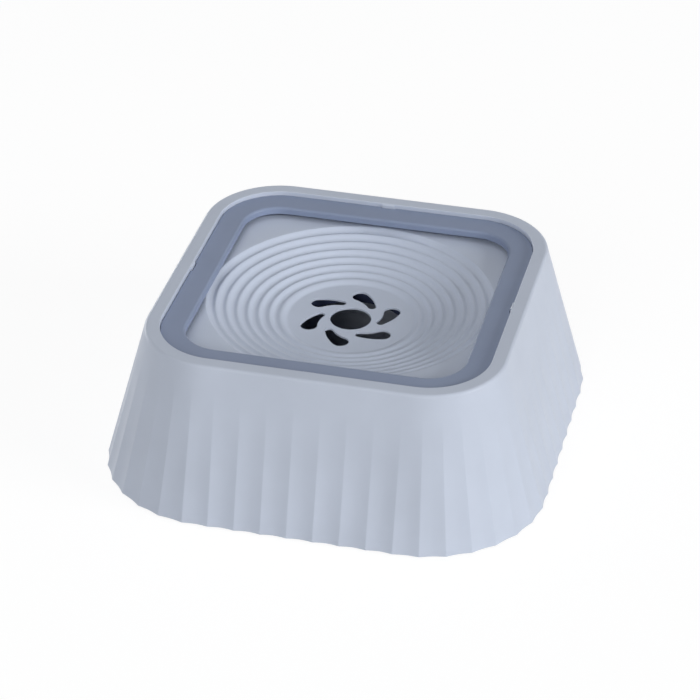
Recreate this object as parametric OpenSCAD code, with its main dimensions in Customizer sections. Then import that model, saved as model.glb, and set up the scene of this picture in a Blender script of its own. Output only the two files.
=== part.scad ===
// No spill dog water bowl: a square bowl with a fluted skirt, a basin that hangs from its rim,
// a splash ring that drops into the rim, and a rippled float that rides on the water.
// Front is -Y, right is +X. The feet stand at z = 0 and the origin is under the middle.
// Every wall runs a set distance outside one shared square, so all corners keep one centre.

/* [Bowl] */
// Width and depth of the skirt at its foot
base_w = 220; // [180:1:280]
// Width and depth of the rim at its top
rim_w = 176.8; // [150:0.2:200]
// Height of the bowl from the skirt's foot to the top of the rim
body_h = 77.5; // [60:0.5:110]
// Length of the straight stretch of each side, between its two corners
side_straight = 100.4; // [80:0.2:120]
// Width of the flat land round the top of the rim
rim_land = 6.9; // [5:0.1:9]
// Radius on the outer edge of the rim
rim_round = 1.8; // [0.8:0.1:2.4]
// Radius on the inner edge of the rim
rim_edge_round = 0.5; // [0.3:0.1:1]
// Wall of the skirt
skirt_wall = 2.4; // [1.8:0.1:3.2]

/* [Flutes] */
// Number of flutes round the skirt, a multiple of four
flute_count = 60; // [40:4:80]
// Depth of a flute at the foot of the skirt
flute_depth = 0.8; // [0.5:0.1:1.6]
// Height at which the flutes have died out, as a share of the bowl's height
flute_fade = 0.87; // [0.5:0.01:0.9]
// How late the flutes die out: 1 is evenly up the skirt, more is nearer the top
flute_curve = 1.4; // [1:0.1:3]
// Place of the first crest after the middle of a side, as a share of one flute
flute_shift = 0.64; // [0:0.01:1]

/* [Basin] */
// Wall of the basin and of its floor
basin_wall = 2.2; // [1.6:0.1:3]
// Width of the ledge that the splash ring sits on
ledge_w = 4.5; // [3.5:0.1:6]
// Lean of the basin's wall, in degrees
basin_draft = 1.2; // [0.5:0.1:2]
// Radius between the basin's wall and floor
floor_round = 8; // [5:0.5:12]
// Thickness of the ribs, those under the bowl and those that guide the float
rib_t = 1.6; // [1.2:0.1:2.4]
// Height of the ribs' lower edge over the table
rib_lift = 9; // [6:0.5:20]

/* [Feet] */
// Diameter of a rubber foot
foot_d = 16; // [12:0.5:20]
// Height of a rubber foot
foot_h = 3.3; // [3:0.1:6]
// How far the feet hold the skirt off the table
foot_proud = 0.8; // [0.5:0.1:1.5]
// How far outside the shared square the middle of a foot lies, along each side
foot_inset = 7.8; // [2:0.1:9]
// Wall of the cup that holds a foot
foot_cup_wall = 2; // [1.2:0.1:3]
// Gap between a foot and its cup
foot_gap = 0.15; // [0.1:0.05:0.3]
// Depth of the hollow in a foot's sole
sole_hollow = 0.5; // [0.2:0.1:1]
// Bevel round a foot's sole
foot_bevel = 0.7; // [0.3:0.1:1.2]

/* [Splash ring] */
// Width of the ring's flat band, from its outer edge to its mouth
ring_band = 12.05; // [9:0.05:16]
// Thickness of the ring
ring_t = 2.2; // [1.6:0.1:3]
// Depth of the ring's top below the top of the rim
ring_step = 2.1; // [1:0.1:3]
// Fall of the band from its outer edge to its mouth
ring_fall = 0.4; // [0:0.1:1.5]
// Depth of the lip that turns down round the mouth
lip_h = 3.9; // [3:0.1:6]
// Thickness of the lip
lip_t = 1.8; // [1.2:0.1:2.4]
// Depth of the rib under the ring that drops inside the basin
ring_rib_h = 2.4; // [1.5:0.1:4]
// Thickness of that rib
ring_rib_t = 1.5; // [1:0.1:2]
// Radius of the roll between the band and the lip
lip_round = 1.4; // [0.5:0.1:1.7]
// Gap between the ring and the rim
ring_gap = 0.45; // [0.3:0.05:0.8]
// Length of each of the four keys on the rim that locate the ring
key_len = 6.2; // [5:0.1:12]
// How far a key stands out of the rim
key_out = 0.9; // [0.5:0.05:1.2]
// Gap between a key's face and the ring's notch
key_gap = 0.45; // [0.2:0.05:0.6]
// Gap at each end of a key
key_play = 0.7; // [0.3:0.05:1.2]

/* [Float] */
// Gap between the float's edge and the basin's wall, at the ledge
float_gap = 3.5; // [2:0.1:6]
// Thickness of the float's shells
float_wall = 1.8; // [1.2:0.1:2.4]
// Height of the float from the foot of its shell to its top
float_h = 19; // [16:0.5:26]
// Gap that the float's edge keeps below the lip at rest
float_rest_gap = 2.6; // [1:0.1:5]
// Gap between the float's edge and the ribs that guide it
guide_gap = 0.6; // [0.4:0.05:1.5]
// How far inside the end of each side's straight stretch a guide rib stands
guide_inset = 18; // [10:1:30]
// Radius of the flat middle of the float
pan_r = 30.9; // [25:0.1:37]
// Number of ripples' crests; the outermost is the edge of the flat land round them
ripple_count = 8; // [4:1:10]
// Place of the first crest outside the flat middle, as a share of one ripple
first_crest = 0.75; // [0.5:0.05:1]
// Width of the flat land between the ripples and the float's edge, at the middle of a side
ripple_land = 1.8; // [1:0.1:4]
// Radius on the float's upper edge
float_round = 0.8; // [0.4:0.1:1]
// Height of a ripple over the line of its valleys
ripple_h = 1; // [0.4:0.05:1.4]
// Radius of the dished top that the ripples lie on
dish_r = 205; // [150:1:300]
// Rise from the flat middle to the first crest
pan_step = 1.5; // [1:0.1:3]
// Thickness of the flat middle
pan_t = 1.2; // [1:0.1:2]
// Diameter of the hole in the middle
hole_d = 20.4; // [14:0.1:22]
// Number of curled slots round the hole
slot_count = 6; // [4:1:6]
// Gap between a slot's thick end and the well
slot_margin = 2.75; // [1:0.05:5]
// Web between the hole and a slot's thin end
slot_web = 2.95; // [2:0.05:5]
// Angle that a slot curls through
slot_sweep = 30; // [20:0.5:36]
// Width of a slot's thick end
slot_head_w = 8.5; // [5:0.1:9]
// Width of a slot's thin end
slot_tail_w = 4.3; // [2:0.1:5]
// Direction of the first slot's thick end, in degrees from the right
slot_turn = 30; // [0:0.5:60]
// Wall of the well under the holes
well_wall = 1.6; // [1.2:0.1:2.4]
// Radius of the edge at the foot of the float
float_foot_round = 5; // [3:0.5:8]
// Gap between the float's upper and lower shells where they lap
shell_gap = 0.2; // [0.1:0.05:0.4]
// Depth of the upper shell's edge that laps over the lower shell
shell_lap = 6; // [4:0.5:8]
// Height of the four pads that keep the float off the basin's floor
pad_h = 1.5; // [1:0.1:3]
// Diameter of those pads
pad_d = 8; // [6:0.5:12]

/* [Hidden] */
$fn = 96;
over = 1;

// The shared square, and how far outside it each wall runs
core = side_straight / 2;
base_off = base_w / 2 - core;
rim_off = rim_w / 2 - core;
seat_off = rim_off - rim_land;
ledge_off = seat_off - ledge_w;
float_off = ledge_off - float_gap;
foot_place = core + foot_inset;
cup_r = foot_d / 2 + foot_gap;
guide_place = core - guide_inset;

// Heights
skirt_z = foot_proud;
rim_z = skirt_z + body_h;
floor_z = foot_h + basin_wall;
ring_top_z = rim_z - ring_step;
ledge_z = ring_top_z - ring_t;
mouth_z = ring_top_z - ring_fall;
lip_z = mouth_z - lip_h;
float_z = lip_z - float_rest_gap;
plate_z = float_z - float_wall;
float_foot_z = float_z - float_h;
cavity_z = rim_z - basin_wall;
cup_z = skirt_z + 0.4;

// How deep ribs and cups sink into the walls that carry them, and the ring's small rounding
sink = basin_wall / 2;
ring_soft = 0.3;

// Skirt
lean = (base_off - rim_off) / body_h;
skirt_wall_flat = skirt_wall * sqrt(1 + lean * lean);
steps_per_flute = 4;
stations = flute_count * steps_per_flute;
corner_len = base_off * PI / 2;
quarter_len = 2 * core + corner_len;
flute_levels = [0, 0.13, 0.26, 0.39, 0.51, 0.63, 0.75, 0.87, 1];
round_steps = 4;

// Ripples, dish and slots
ripple_r = core + float_off - ripple_land;
ripple_zone = ripple_count - 1 + first_crest;
ripple_pitch = (ripple_r - pan_r) / ripple_zone;
ripple_steps = 8;
ripple_points = round(ripple_zone * ripple_steps);
slot_side_steps = 7;
plate_reach = 2 * (core + float_off);
crest_z = dish_z(pan_r + first_crest * ripple_pitch) + ripple_h;
pan_z = crest_z - pan_step;
well_r = pan_r - 0.8;
slot_head_r = well_r - well_wall - slot_margin - slot_head_w / 2;
slot_tail_r = hole_d / 2 + slot_web + slot_tail_w / 2;

// Points along a stretch of a circle
function arc(centre, r, from, to, n) = [
    for (i = [0:n])
        let (a = from + (to - from) * i / n)
        centre + r * [cos(a), sin(a)]
];

// How far outside the shared square the skirt's outer and inner faces lie at a height
function skirt_off(z) = base_off - (z - skirt_z) * lean;
function skirt_inner_off(z) =
    skirt_off(z) - skirt_wall_flat - flute_depth * max(0, 1 - (z - skirt_z) / body_h);

// How far outside the shared square the basin's wall lies at a height
function basin_off(z) = ledge_off - (ledge_z - z) * tan(basin_draft);

// Height of the line through the ripples' valleys at a distance from the middle
function dish_z(r) = float_z - ripple_h - (ripple_r * ripple_r - r * r) / (2 * dish_r);

// Height of the rippled top at a place told in ripples outside the flat middle: it rises
// softly to the first crest, then runs in waves whose crests are narrower than their valleys
function ripple_z(place) =
    place < first_crest
        ? pan_z + pan_step * (1 - cos(180 * place / first_crest)) / 2
        : dish_z(pan_r + place * ripple_pitch)
          + ripple_h * pow(abs(cos(180 * (place - first_crest))), 3);

// Depth of a flute: all of it at the foot, none at the fading height
function flute_at(level) = flute_depth * max(0, 1 - pow(level / flute_fade, flute_curve));

// A point round a rounded square: "along" runs from the middle of a side past one corner,
// measured at the foot of the skirt, and "off" is the distance outside the shared square
function quarter_point(along, off) =
    along < core ? [core + off, along]
    : along < core + corner_len
        ? let (a = (along - core) / corner_len * 90)
          [core + off * cos(a), core + off * sin(a)]
        : [2 * core + corner_len - along, core + off];

function turned(p, a) = [p[0] * cos(a) - p[1] * sin(a), p[0] * sin(a) + p[1] * cos(a)];

// One point of the skirt: crests lie on the outline, and flutes are hollowed in between them
function skirt_point(i, off, depth, z) =
    let (
        share = i / steps_per_flute + flute_shift,
        in_flute = (i % steps_per_flute) / steps_per_flute,
        along = share * 4 * quarter_len / flute_count,
        side = floor(along / quarter_len),
        hollow = depth * 4 * in_flute * (1 - in_flute),
        p = turned(quarter_point(along - side * quarter_len, off - hollow), 90 * side)
    )
    [p[0], p[1], z];

// The rings of the skirt, each as [height, distance outside the square, flute depth]
straight_rings = [
    for (level = flute_levels)
        let (z = skirt_z + level * (body_h - rim_round))
        [z, skirt_off(z), flute_at(level)]
];
round_rings = [
    for (i = [1:round_steps])
        let (a = 90 * i / round_steps, foot = skirt_off(rim_z - rim_round))
        [rim_z - rim_round * (1 - sin(a)), foot - rim_round * (1 - cos(a)), 0]
];
skirt_rings = concat(straight_rings, round_rings);

// The outer face of the bowl, closed flat at its foot and at its top
module skirt_solid() {
    rings = len(skirt_rings);
    points = concat(
        [for (r = skirt_rings) for (i = [0:stations - 1]) skirt_point(i, r[1], r[2], r[0])],
        [[0, 0, skirt_z], [0, 0, rim_z]]
    );
    foot_centre = rings * stations;
    top_centre = foot_centre + 1;
    last = (rings - 1) * stations;
    sides = [
        for (j = [0:rings - 2]) for (i = [0:stations - 1])
            let (a = j * stations + i, b = j * stations + (i + 1) % stations)
            each [[a, a + stations, b + stations], [a, b + stations, b]]
    ];
    caps = [
        for (i = [0:stations - 1])
            let (n = (i + 1) % stations)
            each [[foot_centre, i, n], [top_centre, last + n, last + i]]
    ];
    polyhedron(points = points, faces = concat(sides, caps), convexity = 6);
}

// Sweeps a profile round the shared square; its x is the distance outside the square
module around_square() {
    for (side = [0:3]) rotate(90 * side) {
        translate([core, core, 0]) rotate_extrude(angle = 90) children();
        translate([core, 0, 0]) rotate([90, 0, 0]) linear_extrude(2 * core, center = true) children();
    }
}

// The same, filled in across the square between two heights
module filled_square(low, high) {
    around_square() children();
    translate([-core, -core, low]) cube([2 * core, 2 * core, high - low]);
}

// The space inside the basin, the ledge and the seat of the ring
module basin_space() {
    turn = [basin_off(floor_z + floor_round) - floor_round, floor_z + floor_round];
    edge = [seat_off + rim_edge_round, rim_z - rim_edge_round];
    filled_square(floor_z, rim_z + over) polygon(concat(
        [[0, floor_z]],
        arc(turn, floor_round, -90, 0, 6),
        [[ledge_off, ledge_z], [seat_off, ledge_z]],
        arc(edge, rim_edge_round, 180, 90, 3),
        [[edge[0], rim_z + over], [0, rim_z + over]]
    ));
}

// The space under the bowl, between the skirt and the basin
module underside_space() {
    turn = [basin_off(floor_z + floor_round) - floor_round, floor_z + floor_round];
    filled_square(skirt_z - over, foot_h) polygon(concat(
        [
            [0, skirt_z - over],
            [skirt_inner_off(skirt_z), skirt_z - over],
            [skirt_inner_off(skirt_z), skirt_z],
            [skirt_inner_off(cavity_z), cavity_z],
            [seat_off + basin_wall, cavity_z],
            [seat_off + basin_wall, ledge_z - basin_wall],
            [ledge_off + basin_wall, ledge_z - basin_wall],
        ],
        arc(turn, floor_round + basin_wall, 0, -90, 6),
        [[0, foot_h]]
    ));
}

// One rib, as [distance outside the square, height], sunk a little into both walls
module rib() {
    top = ledge_z - basin_wall - sink;
    rotate([90, 0, 0]) linear_extrude(rib_t, center = true) polygon([
        [basin_off(rib_lift) + sink, rib_lift],
        [skirt_inner_off(rib_lift) + sink, rib_lift],
        [skirt_inner_off(top) + sink, top],
        [basin_off(top) + sink, top],
    ]);
}

// One of the ribs inside the basin that keep the float in line as it rises and falls
module guide() {
    low = floor_z + floor_round;
    high = ledge_z - ring_rib_h - over;
    rotate([90, 0, 0]) linear_extrude(rib_t, center = true) polygon([
        [float_off + guide_gap, low],
        [basin_off(low) + sink, low],
        [basin_off(high) + sink, high],
        [float_off + guide_gap, high],
    ]);
}

// A key on the rim that the ring's notch drops over; it stands on the ledge
module key() {
    top = rim_z - rim_edge_round / 2;
    rotate([90, 0, 0]) linear_extrude(key_len, center = true) polygon([
        [seat_off + over, ledge_z - sink],
        [seat_off - key_out, ledge_z - sink],
        [seat_off - key_out, top - rim_edge_round],
        [seat_off - key_out + rim_edge_round, top],
        [seat_off + over, top],
    ]);
}

// The cup under the floor that a foot is pressed into
module foot_cup() {
    translate([0, 0, cup_z]) difference() {
        cylinder(h = foot_h + sink - cup_z, r = cup_r + foot_cup_wall);
        translate([0, 0, -over]) cylinder(h = foot_h - cup_z + over, r = cup_r);
    }
}

module at_feet() {
    for (x = [-1, 1]) for (y = [-1, 1]) translate([x * foot_place, y * foot_place, 0]) children();
}

module bowl_body() {
    color([0.76, 0.8, 0.85]) {
        difference() {
            skirt_solid();
            basin_space();
            underside_space();
        }
        for (side = [0:3]) rotate(90 * side) {
            translate([core, 0, 0]) rib();
            translate([core, core, 0]) rotate(45) rib();
            translate([core, 0, 0]) key();
            for (y = [-1, 1]) translate([core, y * guide_place, 0]) guide();
        }
        at_feet() foot_cup();
    }
}

// The ring lies on the ledge; its rib drops inside the basin and its lip turns down at the mouth
module splash_ring() {
    outer = seat_off - ring_gap;
    mouth = outer - ring_band;
    rib_out = ledge_off - ring_gap;
    rib_in = rib_out - ring_rib_t;
    rib_z = ledge_z - ring_rib_h;
    notch_out = key_out + key_gap;
    notch_len = key_len + 2 * key_play;
    color([0.47, 0.52, 0.62]) difference() {
        around_square() polygon(concat(
            [[outer, ledge_z], [outer, ring_top_z - ring_soft], [outer - ring_soft, ring_top_z]],
            arc([mouth + lip_round, mouth_z - lip_round], lip_round, 90, 180, 5),
            [[mouth, lip_z + ring_soft], [mouth + ring_soft, lip_z]],
            [[mouth + lip_t - ring_soft, lip_z], [mouth + lip_t, lip_z + ring_soft]],
            [[mouth + lip_t, mouth_z - ring_t], [rib_in, ledge_z - ring_fall / 2]],
            [[rib_in, rib_z], [rib_out, rib_z], [rib_out, ledge_z]]
        ));
        for (side = [0:3]) rotate(90 * side)
            translate([core + seat_off - notch_out, -notch_len / 2, ledge_z - over])
                cube([notch_out + over, notch_len, ring_t + 2 * over]);
    }
}

// The lower face of the float's top plate, from the middle outwards
plate_under = concat(
    [[0, pan_z - pan_t], [pan_r, pan_z - pan_t]],
    [for (i = [1:ripple_count - 1]) let (r = pan_r + i * ripple_pitch) [r, dish_z(r) - float_wall]],
    [[ripple_r, dish_z(ripple_r) - float_wall], [ripple_r + ripple_h, plate_z]]
);

// The rippled upper face of the plate, from the middle outwards
plate_over = concat(
    [[0, pan_z]],
    [
        for (i = [0:ripple_points])
            let (place = ripple_zone * i / ripple_points)
            [pan_r + place * ripple_pitch, ripple_z(place)]
    ]
);

// The outline of one curled slot, round its spine from the thin end to the thick end
function slot_spine(t) =
    let (a = slot_sweep * (t - 1), r = slot_tail_r + (slot_head_r - slot_tail_r) * pow(t, 1.1))
    r * [cos(a), sin(a)];
function slot_half(t) = slot_tail_w / 2 + (slot_head_w - slot_tail_w) / 2 * pow(t, 1.25);
function slot_way(t) =
    let (d = slot_spine(t + 0.01) - slot_spine(t - 0.01))
    atan2(d[1], d[0]);
slot_outline = concat(
    [
        for (i = [0:slot_side_steps])
            let (t = i / slot_side_steps * 0.96 + 0.02, a = slot_way(t) - 90)
            slot_spine(t) + slot_half(t) * [cos(a), sin(a)]
    ],
    arc(slot_spine(1), slot_half(1), slot_way(0.98) - 75, slot_way(0.98) + 75, 6),
    [
        for (i = [0:slot_side_steps])
            let (t = 0.98 - i / slot_side_steps * 0.96, a = slot_way(t) + 90)
            slot_spine(t) + slot_half(t) * [cos(a), sin(a)]
    ],
    arc(slot_spine(0), slot_half(0), slot_way(0.02) + 105, slot_way(0.02) + 255, 5)
);

module float_top() {
    land = float_off - float_round;
    low = pan_z - 2 * float_wall;
    color([0.78, 0.81, 0.86]) difference() {
        union() {
            intersection() {
                rotate_extrude() polygon(concat(
                    plate_over,
                    [[plate_reach, float_z], [plate_reach, plate_z]],
                    [for (i = [len(plate_under) - 1:-1:0]) plate_under[i]]
                ));
                filled_square(low, float_z + over) polygon(concat(
                    [[0, low], [float_off, low]],
                    arc([land, float_z - float_round], float_round, 0, 90, 4),
                    [[land, float_z + over], [0, float_z + over]]
                ));
            }
            around_square() polygon([
                [float_off - float_wall, plate_z + float_wall / 2],
                [float_off - float_wall, float_z - shell_lap],
                [float_off, float_z - shell_lap],
                [float_off, plate_z + float_wall / 2],
            ]);
        }
        translate([0, 0, low]) linear_extrude(4 * float_wall) {
            circle(d = hole_d);
            for (i = [0:slot_count - 1]) rotate(slot_turn + i * 360 / slot_count)
                polygon(slot_outline);
        }
    }
}

// The lower shell: a tray that closes the air space, with a well under the holes
module float_bottom() {
    outer = float_off - float_wall - shell_gap;
    inner = outer - float_wall;
    floor_in = float_foot_z + float_wall;
    turn = [outer - float_foot_round, float_foot_z + float_foot_round];
    color([0.24, 0.27, 0.36]) difference() {
        union() {
            difference() {
                filled_square(float_foot_z, float_z) polygon(concat(
                    [[0, float_foot_z]],
                    arc(turn, float_foot_round, -90, 0, 5),
                    [[outer, float_z], [0, float_z]]
                ));
                filled_square(floor_in, float_z + over) polygon(concat(
                    [[0, floor_in]],
                    arc(turn, float_foot_round - float_wall, -90, 0, 5),
                    [[inner, float_z + over], [0, float_z + over]]
                ));
            }
            translate([0, 0, float_foot_z]) cylinder(h = float_h, r = well_r);
            for (x = [-1, 1]) for (y = [-1, 1])
                translate([x * core, y * core, float_foot_z - pad_h])
                    cylinder(h = pad_h + float_wall / 2, d = pad_d);
        }
        translate([0, 0, float_foot_z - over]) cylinder(h = float_h + 2 * over, r = well_r - well_wall);
        rotate_extrude() polygon(concat(
            plate_under,
            [[plate_reach, plate_z], [plate_reach, float_z + over], [0, float_z + over]]
        ));
    }
}

// A rubber foot with a worn edge and a shallow hollow in its sole
module foot() {
    r = foot_d / 2;
    hollow_r = r * 0.46;
    color([0.33, 0.35, 0.39]) rotate_extrude() polygon([
        [0, sole_hollow], [hollow_r - sole_hollow, sole_hollow], [hollow_r, 0],
        [r - foot_bevel, 0], [r, foot_bevel], [r, foot_h], [0, foot_h],
    ]);
}

module foot_front_left() { translate([-foot_place, -foot_place, 0]) foot(); }
module foot_front_right() { translate([foot_place, -foot_place, 0]) foot(); }
module foot_rear_left() { translate([-foot_place, foot_place, 0]) foot(); }
module foot_rear_right() { translate([foot_place, foot_place, 0]) foot(); }

bowl_body();
splash_ring();
float_top();
float_bottom();
foot_front_left();
foot_front_right();
foot_rear_left();
foot_rear_right();
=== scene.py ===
# Looks of the no spill dog water bowl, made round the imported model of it.
# Front is -Y, right is +X, and the feet stand at z = 0. Lengths are in metres.
import math

import bmesh
import bpy
from mathutils import Matrix, Vector


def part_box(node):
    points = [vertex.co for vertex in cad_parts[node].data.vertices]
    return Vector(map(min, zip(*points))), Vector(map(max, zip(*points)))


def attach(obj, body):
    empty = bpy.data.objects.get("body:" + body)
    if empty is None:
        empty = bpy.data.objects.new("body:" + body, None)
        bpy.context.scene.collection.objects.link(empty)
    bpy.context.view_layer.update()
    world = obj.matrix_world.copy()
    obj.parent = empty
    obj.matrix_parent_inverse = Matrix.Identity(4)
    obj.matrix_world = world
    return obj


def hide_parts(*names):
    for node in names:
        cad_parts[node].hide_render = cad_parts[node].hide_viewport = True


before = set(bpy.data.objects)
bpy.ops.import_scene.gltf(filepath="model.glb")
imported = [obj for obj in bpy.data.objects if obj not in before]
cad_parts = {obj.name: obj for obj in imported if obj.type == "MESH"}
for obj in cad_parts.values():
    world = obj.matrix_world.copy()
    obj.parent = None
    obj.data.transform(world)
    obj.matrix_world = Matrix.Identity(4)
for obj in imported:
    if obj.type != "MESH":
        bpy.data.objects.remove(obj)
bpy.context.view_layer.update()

MM = 0.001
DEG = math.pi / 180
TINY = 0.001 * MM

# Edges that turn by more than this stay sharp
SHARP = 32 * DEG

# Every wall runs at some distance outside one shared square, whose half side this is
CORE = 50.2 * MM

# Bowl
BASE_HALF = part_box("bowl_body")[1].x
RIM_HALF = 88.4 * MM
RIM_LAND = 6.9 * MM
RIM_ROUND = 1.8 * MM
RIM_EDGE_ROUND = 0.5 * MM
SKIRT_WALL = 2.4 * MM
BASIN_WALL = 2.2 * MM
LEDGE_WIDTH = 4.5 * MM
BASIN_DRAFT = 1.2 * DEG
FLOOR_ROUND = 8 * MM
RIB = 1.6 * MM
RIB_LIFT = 9 * MM
SOFT = 0.35 * MM
PLATE_EDGE = 0.25 * MM
SKIRT_ROWS = 40
FLOOR_STEPS = 10
BROW_STEPS = 7
RIM_EDGE_STEPS = 4

# Flutes of the skirt. They fade out at a share of the height, and start a share of a flute past the
# middle of the right side. A flute's points lie at these shares of its width.
FLUTES = 60
FLUTE_DEPTH = 0.8 * MM
FLUTE_FADE = 0.87
FLUTE_CURVE = 1.4
FLUTE_SHIFT = 0.64
CREST_SOFT = 0.03
FLUTE_PLACES = (0, 0.02, 0.05, 0.1, 0.18, 0.28, 0.39, 0.5, 0.61, 0.72, 0.82, 0.9, 0.95, 0.98)

# Feet
FOOT_PLACE = 58 * MM
FOOT_HALF = 8 * MM
FOOT_HEIGHT = 3.3 * MM
CUP_WALL = 2 * MM
CUP_GAP = 0.15 * MM
CUP_LIFT = 0.4 * MM
CUP_EDGE = 0.3 * MM
CUP_TURNS = 64

# Splash ring, and the keys of the bowl that it fits round
RING_BAND = 12.05 * MM
RING_THICK = 2.2 * MM
RING_STEP = 2.1 * MM
RING_FALL = 0.4 * MM
LIP_HEIGHT = 3.9 * MM
LIP_THICK = 1.8 * MM
RING_RIB = 2.4 * MM
RING_RIB_THICK = 1.5 * MM
LIP_ROUND = 1.4 * MM
RING_GAP = 0.45 * MM
RING_EDGE = 0.15 * MM
RING_EDGE_STEPS = 3
LIP_STEPS = 8
RING_SIDE_STEPS = 6
RING_CORNER_STEPS = 30
SEAT_SNUG = 0.2 * MM
KEY_LENGTH = 6.2 * MM
KEY_OUT = 0.9 * MM
KEY_ROOT = 1 * MM
KEY_EDGE = 0.12 * MM
KEY_GAP = 0.45 * MM
KEY_PLAY = 0.7 * MM
NOTCH_SOFT = 0.25 * MM

# Float and its guides. FIRST_CREST is how far the first crest lies outside the flat middle, in
# ripple pitches, and the slots' sweep and turn are in degrees.
FLOAT_GAP = 3.5 * MM
FLOAT_WALL = 1.8 * MM
FLOAT_REST_GAP = 2.6 * MM
FLOAT_EDGE_ROUND = 0.8 * MM
FLOAT_EDGE_STEPS = 6
FLOAT_TURNS = 384
LAND_SHARES = (0.25, 0.5, 0.75)
SHELL_LAP = 6 * MM
GUIDE_GAP = 0.6 * MM
GUIDE_DROP = 1 * MM
GUIDE_PLACE = 32.2 * MM
RIPPLES = 8
RIPPLE_R = 71.7 * MM
RIPPLE_HEIGHT = 1 * MM
RIPPLE_SHARPNESS = 3
RIPPLE_STEPS = 16
FIRST_CREST = 0.75
DISH_R = 205 * MM
PAN_R = 30.9 * MM
PAN_STEP = 1.5 * MM
PAN_THICK = 1.2 * MM
PAN_EDGE = 0.15 * MM
PAN_LAP = 0.8 * MM
PAN_TURNS = 180
HOLE_R = 10.2 * MM
HOLE_TURNS = 96
SLOTS = 6
SLOT_HEAD_R = 21.5 * MM
SLOT_TAIL_R = 15.3 * MM
SLOT_SWEEP = 30
SLOT_HEAD = 8.5 * MM
SLOT_TAIL = 4.3 * MM
SLOT_TURN = 30
SLOT_BEND = 1.1
SLOT_SWELL = 1.25
SLOT_STEPS = 16

# Places worked out from the sizes above
foot_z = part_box("bowl_body")[0].z
rim_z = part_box("bowl_body")[1].z
body_height = rim_z - foot_z
base_off = BASE_HALF - CORE
rim_off = RIM_HALF - CORE
seat_off = rim_off - RIM_LAND
ledge_off = seat_off - LEDGE_WIDTH
float_off = ledge_off - FLOAT_GAP
floor_z = FOOT_HEIGHT + BASIN_WALL
ring_top_z = rim_z - RING_STEP
ledge_z = ring_top_z - RING_THICK
mouth_z = ring_top_z - RING_FALL
lip_z = mouth_z - LIP_HEIGHT
float_z = lip_z - FLOAT_REST_GAP
lean = (base_off - rim_off) / body_height
skirt_wall_flat = SKIRT_WALL * math.sqrt(1 + lean * lean)
corner_len = base_off * math.pi / 2
quarter_len = 2 * CORE + corner_len

# How deep ribs, guides, keys and foot cups run into the bowl's walls
sink = BASIN_WALL / 2


# Points and profiles

def arc(centre, r, start, end, steps):
    """Points along a stretch of a circle, with the angles in degrees."""
    points = []
    for i in range(steps + 1):
        a = (start + (end - start) * i / steps) * DEG
        points.append((centre[0] + r * math.cos(a), centre[1] + r * math.sin(a)))
    return points


def circle_points(r, z, turns, x=0, y=0):
    """A level circle of points."""
    return [
        (x + r * math.cos(math.tau * i / turns), y + r * math.sin(math.tau * i / turns), z)
        for i in range(turns)
    ]


def softened(path, radius, steps=3, closed=False):
    """The path with each corner cut by a short curve."""
    most, nearly_straight = 0.45, -0.985
    out = []
    count = len(path)
    for i, p in enumerate(path):
        if not closed and i in (0, count - 1):
            out.append(p)
            continue
        here = Vector(p)
        before = Vector(path[i - 1]) - here
        after = Vector(path[(i + 1) % count]) - here
        cut = min(radius, before.length * most, after.length * most)
        straight = before.normalized().dot(after.normalized()) < nearly_straight
        if straight or cut < TINY:
            out.append(p)
            continue
        a = here + before.normalized() * cut
        b = here + after.normalized() * cut
        for s in range(steps + 1):
            t = s / steps
            q = a * (1 - t) ** 2 + here * 2 * t * (1 - t) + b * t ** 2
            out.append((q.x, q.y))
    return out


def quarter_point(along, off):
    """A point from the middle of the right side, past one corner, to the middle of the back."""
    if along < CORE:
        return CORE + off, along
    if along < CORE + corner_len:
        a = (along - CORE) / corner_len * math.pi / 2
        return CORE + off * math.cos(a), CORE + off * math.sin(a)
    return 2 * CORE + corner_len - along, CORE + off


def square_point(along, off, z):
    """A point round the whole square; along is measured at the foot of the skirt."""
    side = math.floor(along / quarter_len)
    x, y = quarter_point(along - side * quarter_len, off)
    for _ in range(side % 4):
        x, y = -y, x
    return x, y, z


def edge_radius(angle, off):
    """Distance from the middle to a wall of the square in a direction."""
    a = abs((angle + math.pi / 4) % (math.pi / 2) - math.pi / 4)
    if (CORE + off) * math.tan(a) <= CORE:
        return (CORE + off) / math.cos(a)
    middle = CORE * (math.cos(a) + math.sin(a))
    return middle + math.sqrt(middle * middle - 2 * CORE * CORE + off * off)


def basin_off(z):
    """How far outside the square the basin's wall stands at a height."""
    return ledge_off - (ledge_z - z) * math.tan(BASIN_DRAFT)


def skirt_off(z):
    """The same for the crests of the skirt's flutes."""
    return base_off - (z - foot_z) * lean


def skirt_inner_off(z):
    """The same for the skirt's inner face, which keeps behind the flutes' hollows."""
    share = max(0, 1 - (z - foot_z) / body_height)
    return skirt_off(z) - skirt_wall_flat - FLUTE_DEPTH * share


def flute_at(level):
    """Depth of the flutes at a share of the skirt's height."""
    return FLUTE_DEPTH * max(0, 1 - (level / FLUTE_FADE) ** FLUTE_CURVE)


def flute_hollow(share):
    """How hollow a flute is across its width: nothing at the crests, one in the middle."""
    from_crest = min(share, 1 - share)
    t = math.sqrt(from_crest ** 2 + CREST_SOFT ** 2) - CREST_SOFT
    return 4 * t * (1 - t)


def dish_z(r):
    """Height of the line through the ripples' valleys."""
    return float_z - RIPPLE_HEIGHT - (RIPPLE_R ** 2 - r * r) / (2 * DISH_R)


def ripple_z(u, pitch, pan_z):
    """Height of the rippled top at so many pitches outside the flat middle."""
    r = PAN_R + u * pitch
    if u < FIRST_CREST:
        return pan_z + PAN_STEP * (1 - math.cos(math.pi * u / FIRST_CREST)) / 2
    wave = abs(math.cos(math.pi * (u - FIRST_CREST)))
    return dish_z(r) + RIPPLE_HEIGHT * wave ** RIPPLE_SHARPNESS


# Meshes

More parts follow.
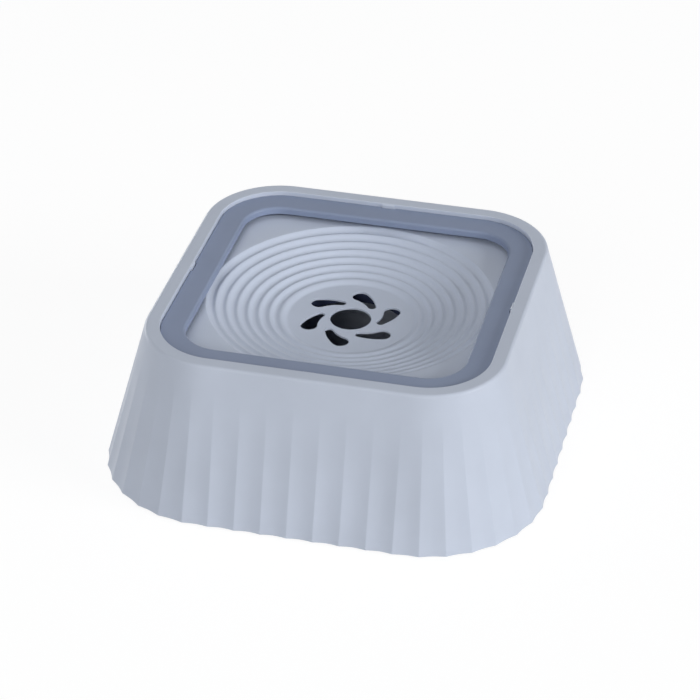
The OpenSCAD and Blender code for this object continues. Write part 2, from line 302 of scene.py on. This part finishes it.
def loft(mesh, rings, closed=False, caps=()):
    """Joins rings of points, each the same number, with quads; caps are the end points' places."""
    count = len(rings[0])
    rows = [[mesh.verts.new(p) for p in ring] for ring in rings]
    pairs = list(zip(rows, rows[1:]))
    if closed:
        pairs.append((rows[-1], rows[0]))
    for low, high in pairs:
        for i in range(count):
            n = (i + 1) % count
            mesh.faces.new((low[i], low[n], high[n], high[i]))
    for row, place in zip((rows[0], rows[-1]), caps):
        centre = mesh.verts.new(place)
        for i in range(count):
            mesh.faces.new((centre, row[i], row[(i + 1) % count]))


def slab(mesh, outline, thick, place, bevel=PLATE_EDGE):
    """A plate of that thickness whose outline lies in its own X and Z, put in its place."""
    part = bmesh.new()
    sides = []
    for y in (-thick / 2, thick / 2):
        sides.append([part.verts.new((p[0], y, p[1])) for p in outline])
    part.faces.new(sides[0])
    part.faces.new(list(reversed(sides[1])))
    for i in range(len(outline)):
        n = (i + 1) % len(outline)
        part.faces.new((sides[0][n], sides[0][i], sides[1][i], sides[1][n]))
    bmesh.ops.bevel(
        part, geom=list(part.edges), offset=bevel, segments=2, profile=0.5, affect="EDGES",
    )
    bmesh.ops.transform(part, matrix=place, verts=list(part.verts))
    copied = bpy.data.meshes.new("slab")
    part.to_mesh(copied)
    part.free()
    mesh.from_mesh(copied)
    bpy.data.meshes.remove(copied)


def finished(name, mesh, body, material, nodes):
    """Turns the mesh into a piece that stands for its CAD nodes and rides on their body."""
    bmesh.ops.recalc_face_normals(mesh, faces=list(mesh.faces))
    data = bpy.data.meshes.new(name)
    mesh.to_mesh(data)
    mesh.free()
    data.shade_smooth()
    data.set_sharp_from_angle(angle=SHARP)
    piece = bpy.data.objects.new(name, data)
    bpy.context.scene.collection.objects.link(piece)
    data.materials.append(material)
    weights = piece.modifiers.new("face_weights", "WEIGHTED_NORMAL")
    weights.keep_sharp = True
    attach(piece, body)
    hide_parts(*nodes)


# Bowl: one shell from the basin's floor, over the rim, down the skirt and back under the floor

def bowl_profile():
    """The section as (distance outside the square, height, flute depth)."""
    turn = (basin_off(floor_z + FLOOR_ROUND) - FLOOR_ROUND, floor_z + FLOOR_ROUND)
    inside = arc(turn, FLOOR_ROUND, -90, 0, FLOOR_STEPS)
    wall_off = seat_off - SEAT_SNUG
    ledge = softened(
        [
            inside[-1], (ledge_off, ledge_z), (wall_off, ledge_z),
            (wall_off, rim_z - 3 * RIM_EDGE_ROUND),
        ],
        SOFT,
    )
    edge_turn = (wall_off + RIM_EDGE_ROUND, rim_z - RIM_EDGE_ROUND)
    edge = arc(edge_turn, RIM_EDGE_ROUND, 180, 90, RIM_EDGE_STEPS)
    rim_foot = skirt_off(rim_z - RIM_ROUND)
    brow = arc((rim_foot - RIM_ROUND, rim_z - RIM_ROUND), RIM_ROUND, 90, 0, BROW_STEPS)
    rows = [(p[0], p[1], 0) for p in inside[:-1] + ledge + edge + brow]
    for i in range(1, SKIRT_ROWS + 1):
        level = 1 - i / SKIRT_ROWS
        z = foot_z + SOFT + level * (body_height - RIM_ROUND - SOFT)
        rows.append((skirt_off(z), z, flute_at(level)))
    rows.append((skirt_off(foot_z + SOFT) - SOFT, foot_z, FLUTE_DEPTH))
    inner = skirt_inner_off(foot_z)
    cavity_z = rim_z - BASIN_WALL
    under = softened(
        [
            (inner, foot_z),
            (inner, foot_z + SOFT),
            (skirt_inner_off(cavity_z), cavity_z),
            (seat_off + BASIN_WALL, cavity_z),
            (seat_off + BASIN_WALL, ledge_z - BASIN_WALL),
            (ledge_off + BASIN_WALL, ledge_z - BASIN_WALL),
            (turn[0] + FLOOR_ROUND + BASIN_WALL, turn[1]),
        ],
        SOFT,
    )
    bend = arc(turn, FLOOR_ROUND + BASIN_WALL, 0, -90, FLOOR_STEPS)
    rows += [(p[0], p[1], 0) for p in under[:-1] + bend]
    return rows


def bowl_mesh():
    """The bowl's shell, closed at both sides of the basin's floor."""
    mesh = bmesh.new()
    rings = []
    for off, z, depth in bowl_profile():
        row = []
        for flute in range(FLUTES):
            for place in FLUTE_PLACES:
                along = (flute + place + FLUTE_SHIFT) * 4 * quarter_len / FLUTES
                row.append(square_point(along, off - depth * flute_hollow(place), z))
        rings.append(row)
    loft(mesh, rings, caps=((0, 0, floor_z), (0, 0, FOOT_HEIGHT)))
    return mesh


def rib_outline():
    """A thin rib between the basin's wall and the skirt."""
    top = ledge_z - BASIN_WALL - sink
    return [
        (basin_off(RIB_LIFT) + sink, RIB_LIFT),
        (skirt_inner_off(RIB_LIFT) + sink, RIB_LIFT),
        (skirt_inner_off(top) + sink, top),
        (basin_off(top) + sink, top),
    ]


def guide_outline():
    """A low rib on the basin's wall that keeps the float in line."""
    low = floor_z + FLOOR_ROUND
    high = ledge_z - RING_RIB - GUIDE_DROP
    return [
        (float_off + GUIDE_GAP, low),
        (basin_off(low) + sink, low),
        (basin_off(high) + sink, high),
        (float_off + GUIDE_GAP, high),
    ]


def key_outline():
    """A key on the seat's wall, which fits in a notch of the ring."""
    top = rim_z - RIM_EDGE_ROUND / 2
    face = seat_off - KEY_OUT
    root = seat_off + KEY_ROOT
    return [
        (root, ledge_z - sink), (face, ledge_z - sink), (face, top - RIM_EDGE_ROUND),
        (face + RIM_EDGE_ROUND, top), (root, top),
    ]


def foot_cup(mesh, x, y):
    """A round cup under the floor that holds a foot."""
    bore = FOOT_HALF + CUP_GAP
    outside = bore + CUP_WALL
    low = foot_z + CUP_LIFT
    high = FOOT_HEIGHT + sink
    corners = [(bore, high), (bore, low), (outside, low), (outside, high)]
    path = softened(corners, CUP_EDGE, steps=2, closed=True)
    loft(mesh, [circle_points(r, z, CUP_TURNS, x, y) for r, z in path], closed=True)


def bowl(material):
    """The shell with its ribs, keys, guides and foot cups."""
    mesh = bowl_mesh()
    corner = Matrix.Translation((CORE, CORE, 0)) @ Matrix.Rotation(math.pi / 4, 4, "Z")
    for side in range(4):
        turn = Matrix.Rotation(side * math.pi / 2, 4, "Z")
        middle = turn @ Matrix.Translation((CORE, 0, 0))
        slab(mesh, rib_outline(), RIB, middle)
        slab(mesh, rib_outline(), RIB, turn @ corner)
        slab(mesh, key_outline(), KEY_LENGTH, middle, KEY_EDGE)
        for y in (-GUIDE_PLACE, GUIDE_PLACE):
            slab(mesh, guide_outline(), RIB, turn @ Matrix.Translation((CORE, y, 0)))
    for x in (-FOOT_PLACE, FOOT_PLACE):
        for y in (-FOOT_PLACE, FOOT_PLACE):
            foot_cup(mesh, x, y)
    finished("bowl", mesh, "bowl", material, ["bowl_body"])


# Splash ring

def ring_profile():
    """The section as (distance outside the square, height)."""
    outer = seat_off - RING_GAP
    mouth = outer - RING_BAND
    rib_out = ledge_off - RING_GAP
    rib_in = rib_out - RING_RIB_THICK
    path = [
        (outer, ledge_z),
        *arc((outer - RING_EDGE, ring_top_z - RING_EDGE), RING_EDGE, 0, 90, RING_EDGE_STEPS),
        *arc((mouth + LIP_ROUND, mouth_z - LIP_ROUND), LIP_ROUND, 90, 180, LIP_STEPS),
        (mouth, lip_z), (mouth + LIP_THICK, lip_z),
        (mouth + LIP_THICK, mouth_z - RING_THICK), (rib_in, ledge_z - RING_FALL / 2),
        (rib_in, ledge_z - RING_RIB), (rib_out, ledge_z - RING_RIB), (rib_out, ledge_z),
    ]
    return softened(path, SOFT, closed=True)


def ring_stations():
    """Stations round the ring as (distance along, in a notch or not)."""
    half = KEY_LENGTH / 2 + KEY_PLAY
    clear = half + NOTCH_SOFT
    plain = CORE - clear
    stations = []
    for side in range(4):
        start = side * quarter_len
        end = start + quarter_len
        stations += [(start, True), (start + half, True), (start + clear, False)]
        for i in range(1, RING_SIDE_STEPS):
            stations.append((start + clear + plain * i / RING_SIDE_STEPS, False))
        for i in range(RING_CORNER_STEPS + 1):
            stations.append((start + CORE + corner_len * i / RING_CORNER_STEPS, False))
        for i in range(1, RING_SIDE_STEPS):
            stations.append((end - clear - plain * (1 - i / RING_SIDE_STEPS), False))
        stations += [(end - clear, False), (end - half, True)]
    return stations


def ring(material):
    """The ring, drawn in where the bowl's keys are."""
    mesh = bmesh.new()
    notch_off = seat_off - KEY_OUT - KEY_GAP
    stations = ring_stations()
    rings = []
    for off, z in ring_profile():
        rings.append([
            square_point(along, min(off, notch_off) if notched else off, z)
            for along, notched in stations
        ])
    loft(mesh, rings, closed=True)
    finished("ring", mesh, "ring", material, ["splash_ring"])


# Float

def float_rings():
    """Loops of points for the rippled top, its edge and its lap, and the flat middle's height."""
    angles = [math.tau * i / FLOAT_TURNS for i in range(FLOAT_TURNS)]
    pitch = (RIPPLE_R - PAN_R) / (RIPPLES - 1 + FIRST_CREST)
    pan_z = dish_z(PAN_R + FIRST_CREST * pitch) + RIPPLE_HEIGHT - PAN_STEP

    def loop(radius, z):
        """A loop of points whose radius depends on the angle."""
        return [(radius(a) * math.cos(a), radius(a) * math.sin(a), z) for a in angles]

    def circle(r, z):
        return loop(lambda a: r, z)

    def square(off, z):
        return loop(lambda a: edge_radius(a, off), z)

    def between(share, off, z):
        """A loop at a share of the way from the last ripple to a wall of the square."""
        return loop(lambda a: RIPPLE_R + (edge_radius(a, off) - RIPPLE_R) * share, z)

    def inside_lap(r, z):
        """A circle that keeps inside the lap where the two would cross."""
        return loop(lambda a: min(r, edge_radius(a, float_off - FLOAT_WALL) - SOFT), z)

    rings = [circle(PAN_R, pan_z)]
    for i in range(1, round((RIPPLES - 1 + FIRST_CREST) * RIPPLE_STEPS) + 1):
        u = i / RIPPLE_STEPS
        rings.append(circle(PAN_R + u * pitch, ripple_z(u, pitch, pan_z)))
    land = float_off - FLOAT_EDGE_ROUND
    for share in LAND_SHARES:
        rings.append(between(share, land, float_z))
    edge_turn = (land, float_z - FLOAT_EDGE_ROUND)
    for off, z in arc(edge_turn, FLOAT_EDGE_ROUND, 90, 0, FLOAT_EDGE_STEPS):
        rings.append(square(off, z))
    hem = softened(
        [
            (float_off, float_z - SHELL_LAP / 2), (float_off, float_z - SHELL_LAP),
            (float_off - FLOAT_WALL, float_z - SHELL_LAP),
            (float_off - FLOAT_WALL, float_z - FLOAT_WALL),
        ],
        SOFT,
    )
    for off, z in hem:
        rings.append(square(off, z))
    rings.append(inside_lap(RIPPLE_R + RIPPLE_HEIGHT, float_z - FLOAT_WALL))
    rings.append(inside_lap(RIPPLE_R, dish_z(RIPPLE_R) - FLOAT_WALL))
    for i in range(RIPPLES - 1, 0, -1):
        r = PAN_R + i * pitch
        rings.append(circle(r, dish_z(r) - FLOAT_WALL))
    rings.append(circle(PAN_R, pan_z - PAN_THICK))
    return rings, pan_z


def slot_spine(t):
    """A point on a slot's middle line, from 0 at its thin end to 1 at its thick end."""
    a = SLOT_SWEEP * (t - 1) * DEG
    r = SLOT_TAIL_R + (SLOT_HEAD_R - SLOT_TAIL_R) * max(t, 0) ** SLOT_BEND
    return Vector((r * math.cos(a), r * math.sin(a)))


def slot_half(t):
    """Half the width of a slot at a point of its middle line."""
    return SLOT_TAIL / 2 + (SLOT_HEAD - SLOT_TAIL) / 2 * max(t, 0) ** SLOT_SWELL


def slot_outline():
    """The outline of one curled slot, round its spine from the thin end to the thick end."""
    near, low, high = 0.01, 0.02, 0.98
    head_reach, head_steps = 80, 14
    tail_reach, tail_steps = 75, 10

    def way(t):
        d = slot_spine(t + near) - slot_spine(t - near)
        return math.atan2(d.y, d.x)

    def beside(t, turn):
        a = way(t) + turn
        return slot_spine(t) + slot_half(t) * Vector((math.cos(a), math.sin(a)))

    def round_end(t, middle, reach, steps):
        points = arc(slot_spine(t), slot_half(t), middle - reach, middle + reach, steps)
        return [Vector(p) for p in points]

    shares = [low + (high - low) * i / SLOT_STEPS for i in range(SLOT_STEPS + 1)]
    out = [beside(share, -math.pi / 2) for share in shares]
    head = round_end(1, way(high) / DEG, head_reach, head_steps)
    back = [beside(share, math.pi / 2) for share in reversed(shares)]
    tail = round_end(0, way(low) / DEG + 180, tail_reach, tail_steps)
    return out + head + back + tail


def pan_mesh(pan_z):
    """The flat middle with its hole and curled slots, their edges rounded."""
    curve = bpy.data.curves.new("pan", "CURVE")
    curve.dimensions = "2D"
    curve.fill_mode = "BOTH"
    curve.extrude = PAN_THICK / 2 - PAN_EDGE
    curve.bevel_depth = PAN_EDGE
    curve.bevel_resolution = 3
    curve.offset = -PAN_EDGE
    outlines = []
    for r, turns in ((PAN_R + PAN_LAP, PAN_TURNS), (HOLE_R, HOLE_TURNS)):
        outlines.append([Vector(p[:2]) for p in circle_points(r, 0, turns)])
    for k in range(SLOTS):
        turn = Matrix.Rotation((SLOT_TURN + k * 360 / SLOTS) * DEG, 2)
        outlines.append([turn @ p for p in slot_outline()])
    for points in outlines:
        spline = curve.splines.new("POLY")
        spline.points.add(len(points) - 1)
        for q, p in zip(spline.points, points):
            q.co = (p.x, p.y, 0, 1)
        spline.use_cyclic_u = True
    holder = bpy.data.objects.new("pan", curve)
    bpy.context.scene.collection.objects.link(holder)
    holder.location.z = pan_z - PAN_THICK / 2
    bpy.context.view_layer.update()
    seen = holder.evaluated_get(bpy.context.evaluated_depsgraph_get())
    data = bpy.data.meshes.new_from_object(seen)
    data.transform(holder.matrix_world)
    bpy.data.objects.remove(holder)
    return data


def float_piece(material):
    """The float's upper shell."""
    mesh = bmesh.new()
    rings, pan_z = float_rings()
    loft(mesh, rings, closed=True)
    pan = pan_mesh(pan_z)
    mesh.from_mesh(pan)
    bpy.data.meshes.remove(pan)
    bmesh.ops.remove_doubles(mesh, verts=list(mesh.verts), dist=TINY)
    finished("float", mesh, "float", material, ["float_top"])


# Materials: noise scales are per metre of the object, and the grain's depth is a length

CLOUD_SCALE = 28
GLOSS_SCALE = 140
GRAIN_SCALE = 2600
GRAIN_DEPTH = 0.02 * MM
NOISE_LOW = 0.25
NOISE_HIGH = 0.75
ROUGH_UNDER = 0.05
ROUGH_OVER = 0.06


def moulded(name, colour, rough=0.42, grain=0.35, tint=0.035, gloss=0.25):
    """Moulded plastic or rubber: faint clouds in the colour, a fine grain and uneven gloss."""
    material = bpy.data.materials.new(name)
    material.use_nodes = True
    nodes = material.node_tree.nodes
    links = material.node_tree.links
    shader = nodes["Principled BSDF"]
    where = nodes.new("ShaderNodeTexCoord")

    def noise(scale, detail, roughness=0.5):
        node = nodes.new("ShaderNodeTexNoise")
        node.inputs["Scale"].default_value = scale
        node.inputs["Detail"].default_value = detail
        node.inputs["Roughness"].default_value = roughness
        links.new(where.outputs["Object"], node.inputs["Vector"])
        return node.outputs["Fac"]

    def remapped(source, low, high):
        node = nodes.new("ShaderNodeMapRange")
        node.inputs["From Min"].default_value = NOISE_LOW
        node.inputs["From Max"].default_value = NOISE_HIGH
        node.inputs["To Min"].default_value = low
        node.inputs["To Max"].default_value = high
        links.new(source, node.inputs["Value"])
        return node.outputs["Result"]

    clouds = noise(CLOUD_SCALE, detail=3)
    mix = nodes.new("ShaderNodeMix")
    mix.data_type = "RGBA"
    mix.inputs["A"].default_value = (*[c * (1 - tint) for c in colour], 1)
    mix.inputs["B"].default_value = (*[min(1, c * (1 + tint)) for c in colour], 1)
    links.new(remapped(clouds, 0, 1), mix.inputs["Factor"])
    links.new(mix.outputs["Result"], shader.inputs["Base Color"])
    uneven = noise(GLOSS_SCALE, detail=4, roughness=0.6)
    roughness = remapped(uneven, rough - ROUGH_UNDER, rough + ROUGH_OVER)
    links.new(roughness, shader.inputs["Roughness"])
    bump = nodes.new("ShaderNodeBump")
    bump.inputs["Strength"].default_value = grain
    bump.inputs["Distance"].default_value = GRAIN_DEPTH
    links.new(noise(GRAIN_SCALE, detail=2), bump.inputs["Height"])
    links.new(bump.outputs["Normal"], shader.inputs["Normal"])
    shader.inputs["Specular IOR Level"].default_value = gloss
    return material


def linear(*rgb):
    """A colour given as screen values from 0 to 255, in linear light."""
    out = []
    for c in rgb:
        s = c / 255
        out.append(s / 12.92 if s <= 0.04045 else ((s + 0.055) / 1.055) ** 2.4)
    return out


def dressed(node, material):
    """Gives a carried-over CAD node its finish."""
    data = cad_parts[node].data
    data.materials.clear()
    data.materials.append(material)


bowl_plastic = moulded("bowl_plastic", linear(203, 211, 226))
ring_plastic = moulded("ring_plastic", linear(140, 152, 178), rough=0.4)
float_plastic = moulded("float_plastic", linear(206, 215, 232))
# The float's lower shell is coloured dark navy so that the float's hole and slots look black:
# painted shade for the dark inside under the float, not the shell's own colour.
shell_plastic = moulded("shell_plastic", linear(56, 64, 92), rough=0.6, gloss=0.1)
foot_rubber = moulded("foot_rubber", linear(78, 82, 90), rough=0.78, grain=0.8, tint=0.08)

bowl(bowl_plastic)
ring(ring_plastic)
float_piece(float_plastic)
# Painted shade: the dark lower shell shows through the float's hole and slots in place of the shade
# inside.
dressed("float_bottom", shell_plastic)
for foot in ("foot_front_left", "foot_front_right", "foot_rear_left", "foot_rear_right"):
    dressed(foot, foot_rubber)


# Camera, at the photograph's angle: turns are in radians, and the lens and sensor in millimetres

CAMERA_TURN = 0.24172
CAMERA_HEIGHT = 0.57346
CAMERA_ROLL = 0.0010815
CAMERA_FAR = 1420.79 * MM
CAMERA_LENS = 144.05
SENSOR_WIDTH = 36
TARGET_SIDE = -0.259 * MM
TARGET_UP = 32.583 * MM


def camera():
    """A camera that looks at a point over and beside the middle of the skirt's foot."""
    back = Vector((
        math.sin(CAMERA_TURN) * math.cos(CAMERA_HEIGHT),
        -math.cos(CAMERA_TURN) * math.cos(CAMERA_HEIGHT),
        math.sin(CAMERA_HEIGHT),
    ))
    level = Vector((math.cos(CAMERA_TURN), math.sin(CAMERA_TURN), 0))
    rise = back.cross(level)
    c, s = math.cos(CAMERA_ROLL), math.sin(CAMERA_ROLL)
    right = c * level + s * rise
    up = -s * level + c * rise
    place = right * TARGET_SIDE + up * TARGET_UP + Vector((0, 0, foot_z)) + back * CAMERA_FAR
    data = bpy.data.cameras.new("camera")
    data.lens = CAMERA_LENS
    data.sensor_width = SENSOR_WIDTH
    data.clip_start = 0.05
    data.clip_end = 50
    eye = bpy.data.objects.new("camera", data)
    bpy.context.scene.collection.objects.link(eye)
    turn = Matrix((right, up, back)).transposed().to_4x4()
    eye.matrix_world = Matrix.Translation(place) @ turn
    bpy.context.scene.camera = eye


# Lamps, floor and surroundings

LAMP_AIM = (0, 0, 40 * MM)

# Each lamp's name, its turn from the right side and rise over the table in degrees, its distance,
# width and height in metres, and its power in watts
LAMPS = (
    ("right", -11, 18, 4.4, (2.4, 1.5), 112),
    ("front", -97, 26, 4.4, (2.4, 1.8), 64),
    ("top", 100, 78, 4.4, (3, 3), 17),
    ("left", -170, 66, 0.9, (0.5, 0.5), 0.4),
    ("back_left", 140, 2, 4.4, (2.4, 0.2), 60),
)

STAGE_HALF = 6
STAGE_COLOUR = (0.8, 0.8, 0.8, 1)
STAGE_GLOW = 1.12
STAGE_GLOW_SHARE = 0.8
SOFT_COLOUR = (0.93, 0.96, 1, 1)
SOFT_STRENGTH = 0.15
WHITE = (1, 1, 1, 1)


def studio_lamp(name, turn, rise, far, size, power):
    """A white lamp turned towards the middle of the bowl."""
    data = bpy.data.lights.new(name, "AREA")
    data.shape = "RECTANGLE"
    data.size, data.size_y = size
    data.energy = power
    lamp = bpy.data.objects.new(name, data)
    bpy.context.scene.collection.objects.link(lamp)
    level = far * math.cos(rise * DEG)
    up = far * math.sin(rise * DEG)
    way = Vector((level * math.cos(turn * DEG), level * math.sin(turn * DEG), up))
    lamp.location = Vector(LAMP_AIM) + way
    lamp.rotation_euler = way.to_track_quat("Z", "Y").to_euler()


def seen_directly(nodes, links):
    """1 for what the camera sees, also in gloss or through glass, and 0 for light on the object."""
    path = nodes.new("ShaderNodeLightPath")
    out = path.outputs["Is Camera Ray"]
    for ray in ("Is Glossy Ray", "Is Transmission Ray"):
        either = nodes.new("ShaderNodeMath")
        either.operation = "MAXIMUM"
        links.new(out, either.inputs[0])
        links.new(path.outputs[ray], either.inputs[1])
        out = either.outputs["Value"]
    return out


def floor():
    """A matt floor that shows white to the camera and keeps the bowl's shadow."""
    signs = ((-1, -1), (1, -1), (1, 1), (-1, 1))
    corners = [(x * STAGE_HALF, y * STAGE_HALF, 0) for x, y in signs]
    data = bpy.data.meshes.new("floor")
    data.from_pydata(corners, [], [(0, 1, 2, 3)])
    piece = bpy.data.objects.new("floor", data)
    bpy.context.scene.collection.objects.link(piece)
    material = bpy.data.materials.new("floor")
    material.use_nodes = True
    nodes = material.node_tree.nodes
    links = material.node_tree.links
    nodes.remove(nodes["Principled BSDF"])
    matt = nodes.new("ShaderNodeBsdfDiffuse")
    matt.inputs["Color"].default_value = STAGE_COLOUR
    glow = nodes.new("ShaderNodeEmission")
    glow.inputs["Strength"].default_value = STAGE_GLOW
    share = nodes.new("ShaderNodeMath")
    share.operation = "MULTIPLY"
    share.inputs[1].default_value = STAGE_GLOW_SHARE
    links.new(seen_directly(nodes, links), share.inputs[0])
    mix = nodes.new("ShaderNodeMixShader")
    links.new(share.outputs["Value"], mix.inputs["Fac"])
    links.new(matt.outputs["BSDF"], mix.inputs[1])
    links.new(glow.outputs["Emission"], mix.inputs[2])
    links.new(mix.outputs["Shader"], nodes["Material Output"].inputs["Surface"])
    data.materials.append(material)


def surroundings():
    """A world that lights softly and shows white to the camera."""
    world = bpy.data.worlds.new("studio")
    world.use_nodes = True
    nodes = world.node_tree.nodes
    links = world.node_tree.links
    soft = nodes["Background"]
    soft.inputs["Color"].default_value = SOFT_COLOUR
    soft.inputs["Strength"].default_value = SOFT_STRENGTH
    white = nodes.new("ShaderNodeBackground")
    white.inputs["Color"].default_value = WHITE
    white.inputs["Strength"].default_value = 1
    mix = nodes.new("ShaderNodeMixShader")
    links.new(seen_directly(nodes, links), mix.inputs["Fac"])
    links.new(soft.outputs["Background"], mix.inputs[1])
    links.new(white.outputs["Background"], mix.inputs[2])
    links.new(mix.outputs["Shader"], nodes["World Output"].inputs["Surface"])
    bpy.context.scene.world = world


camera()
floor()
surroundings()
for lamp in LAMPS:
    studio_lamp(*lamp)

bpy.context.scene.view_settings.view_transform = "Standard"
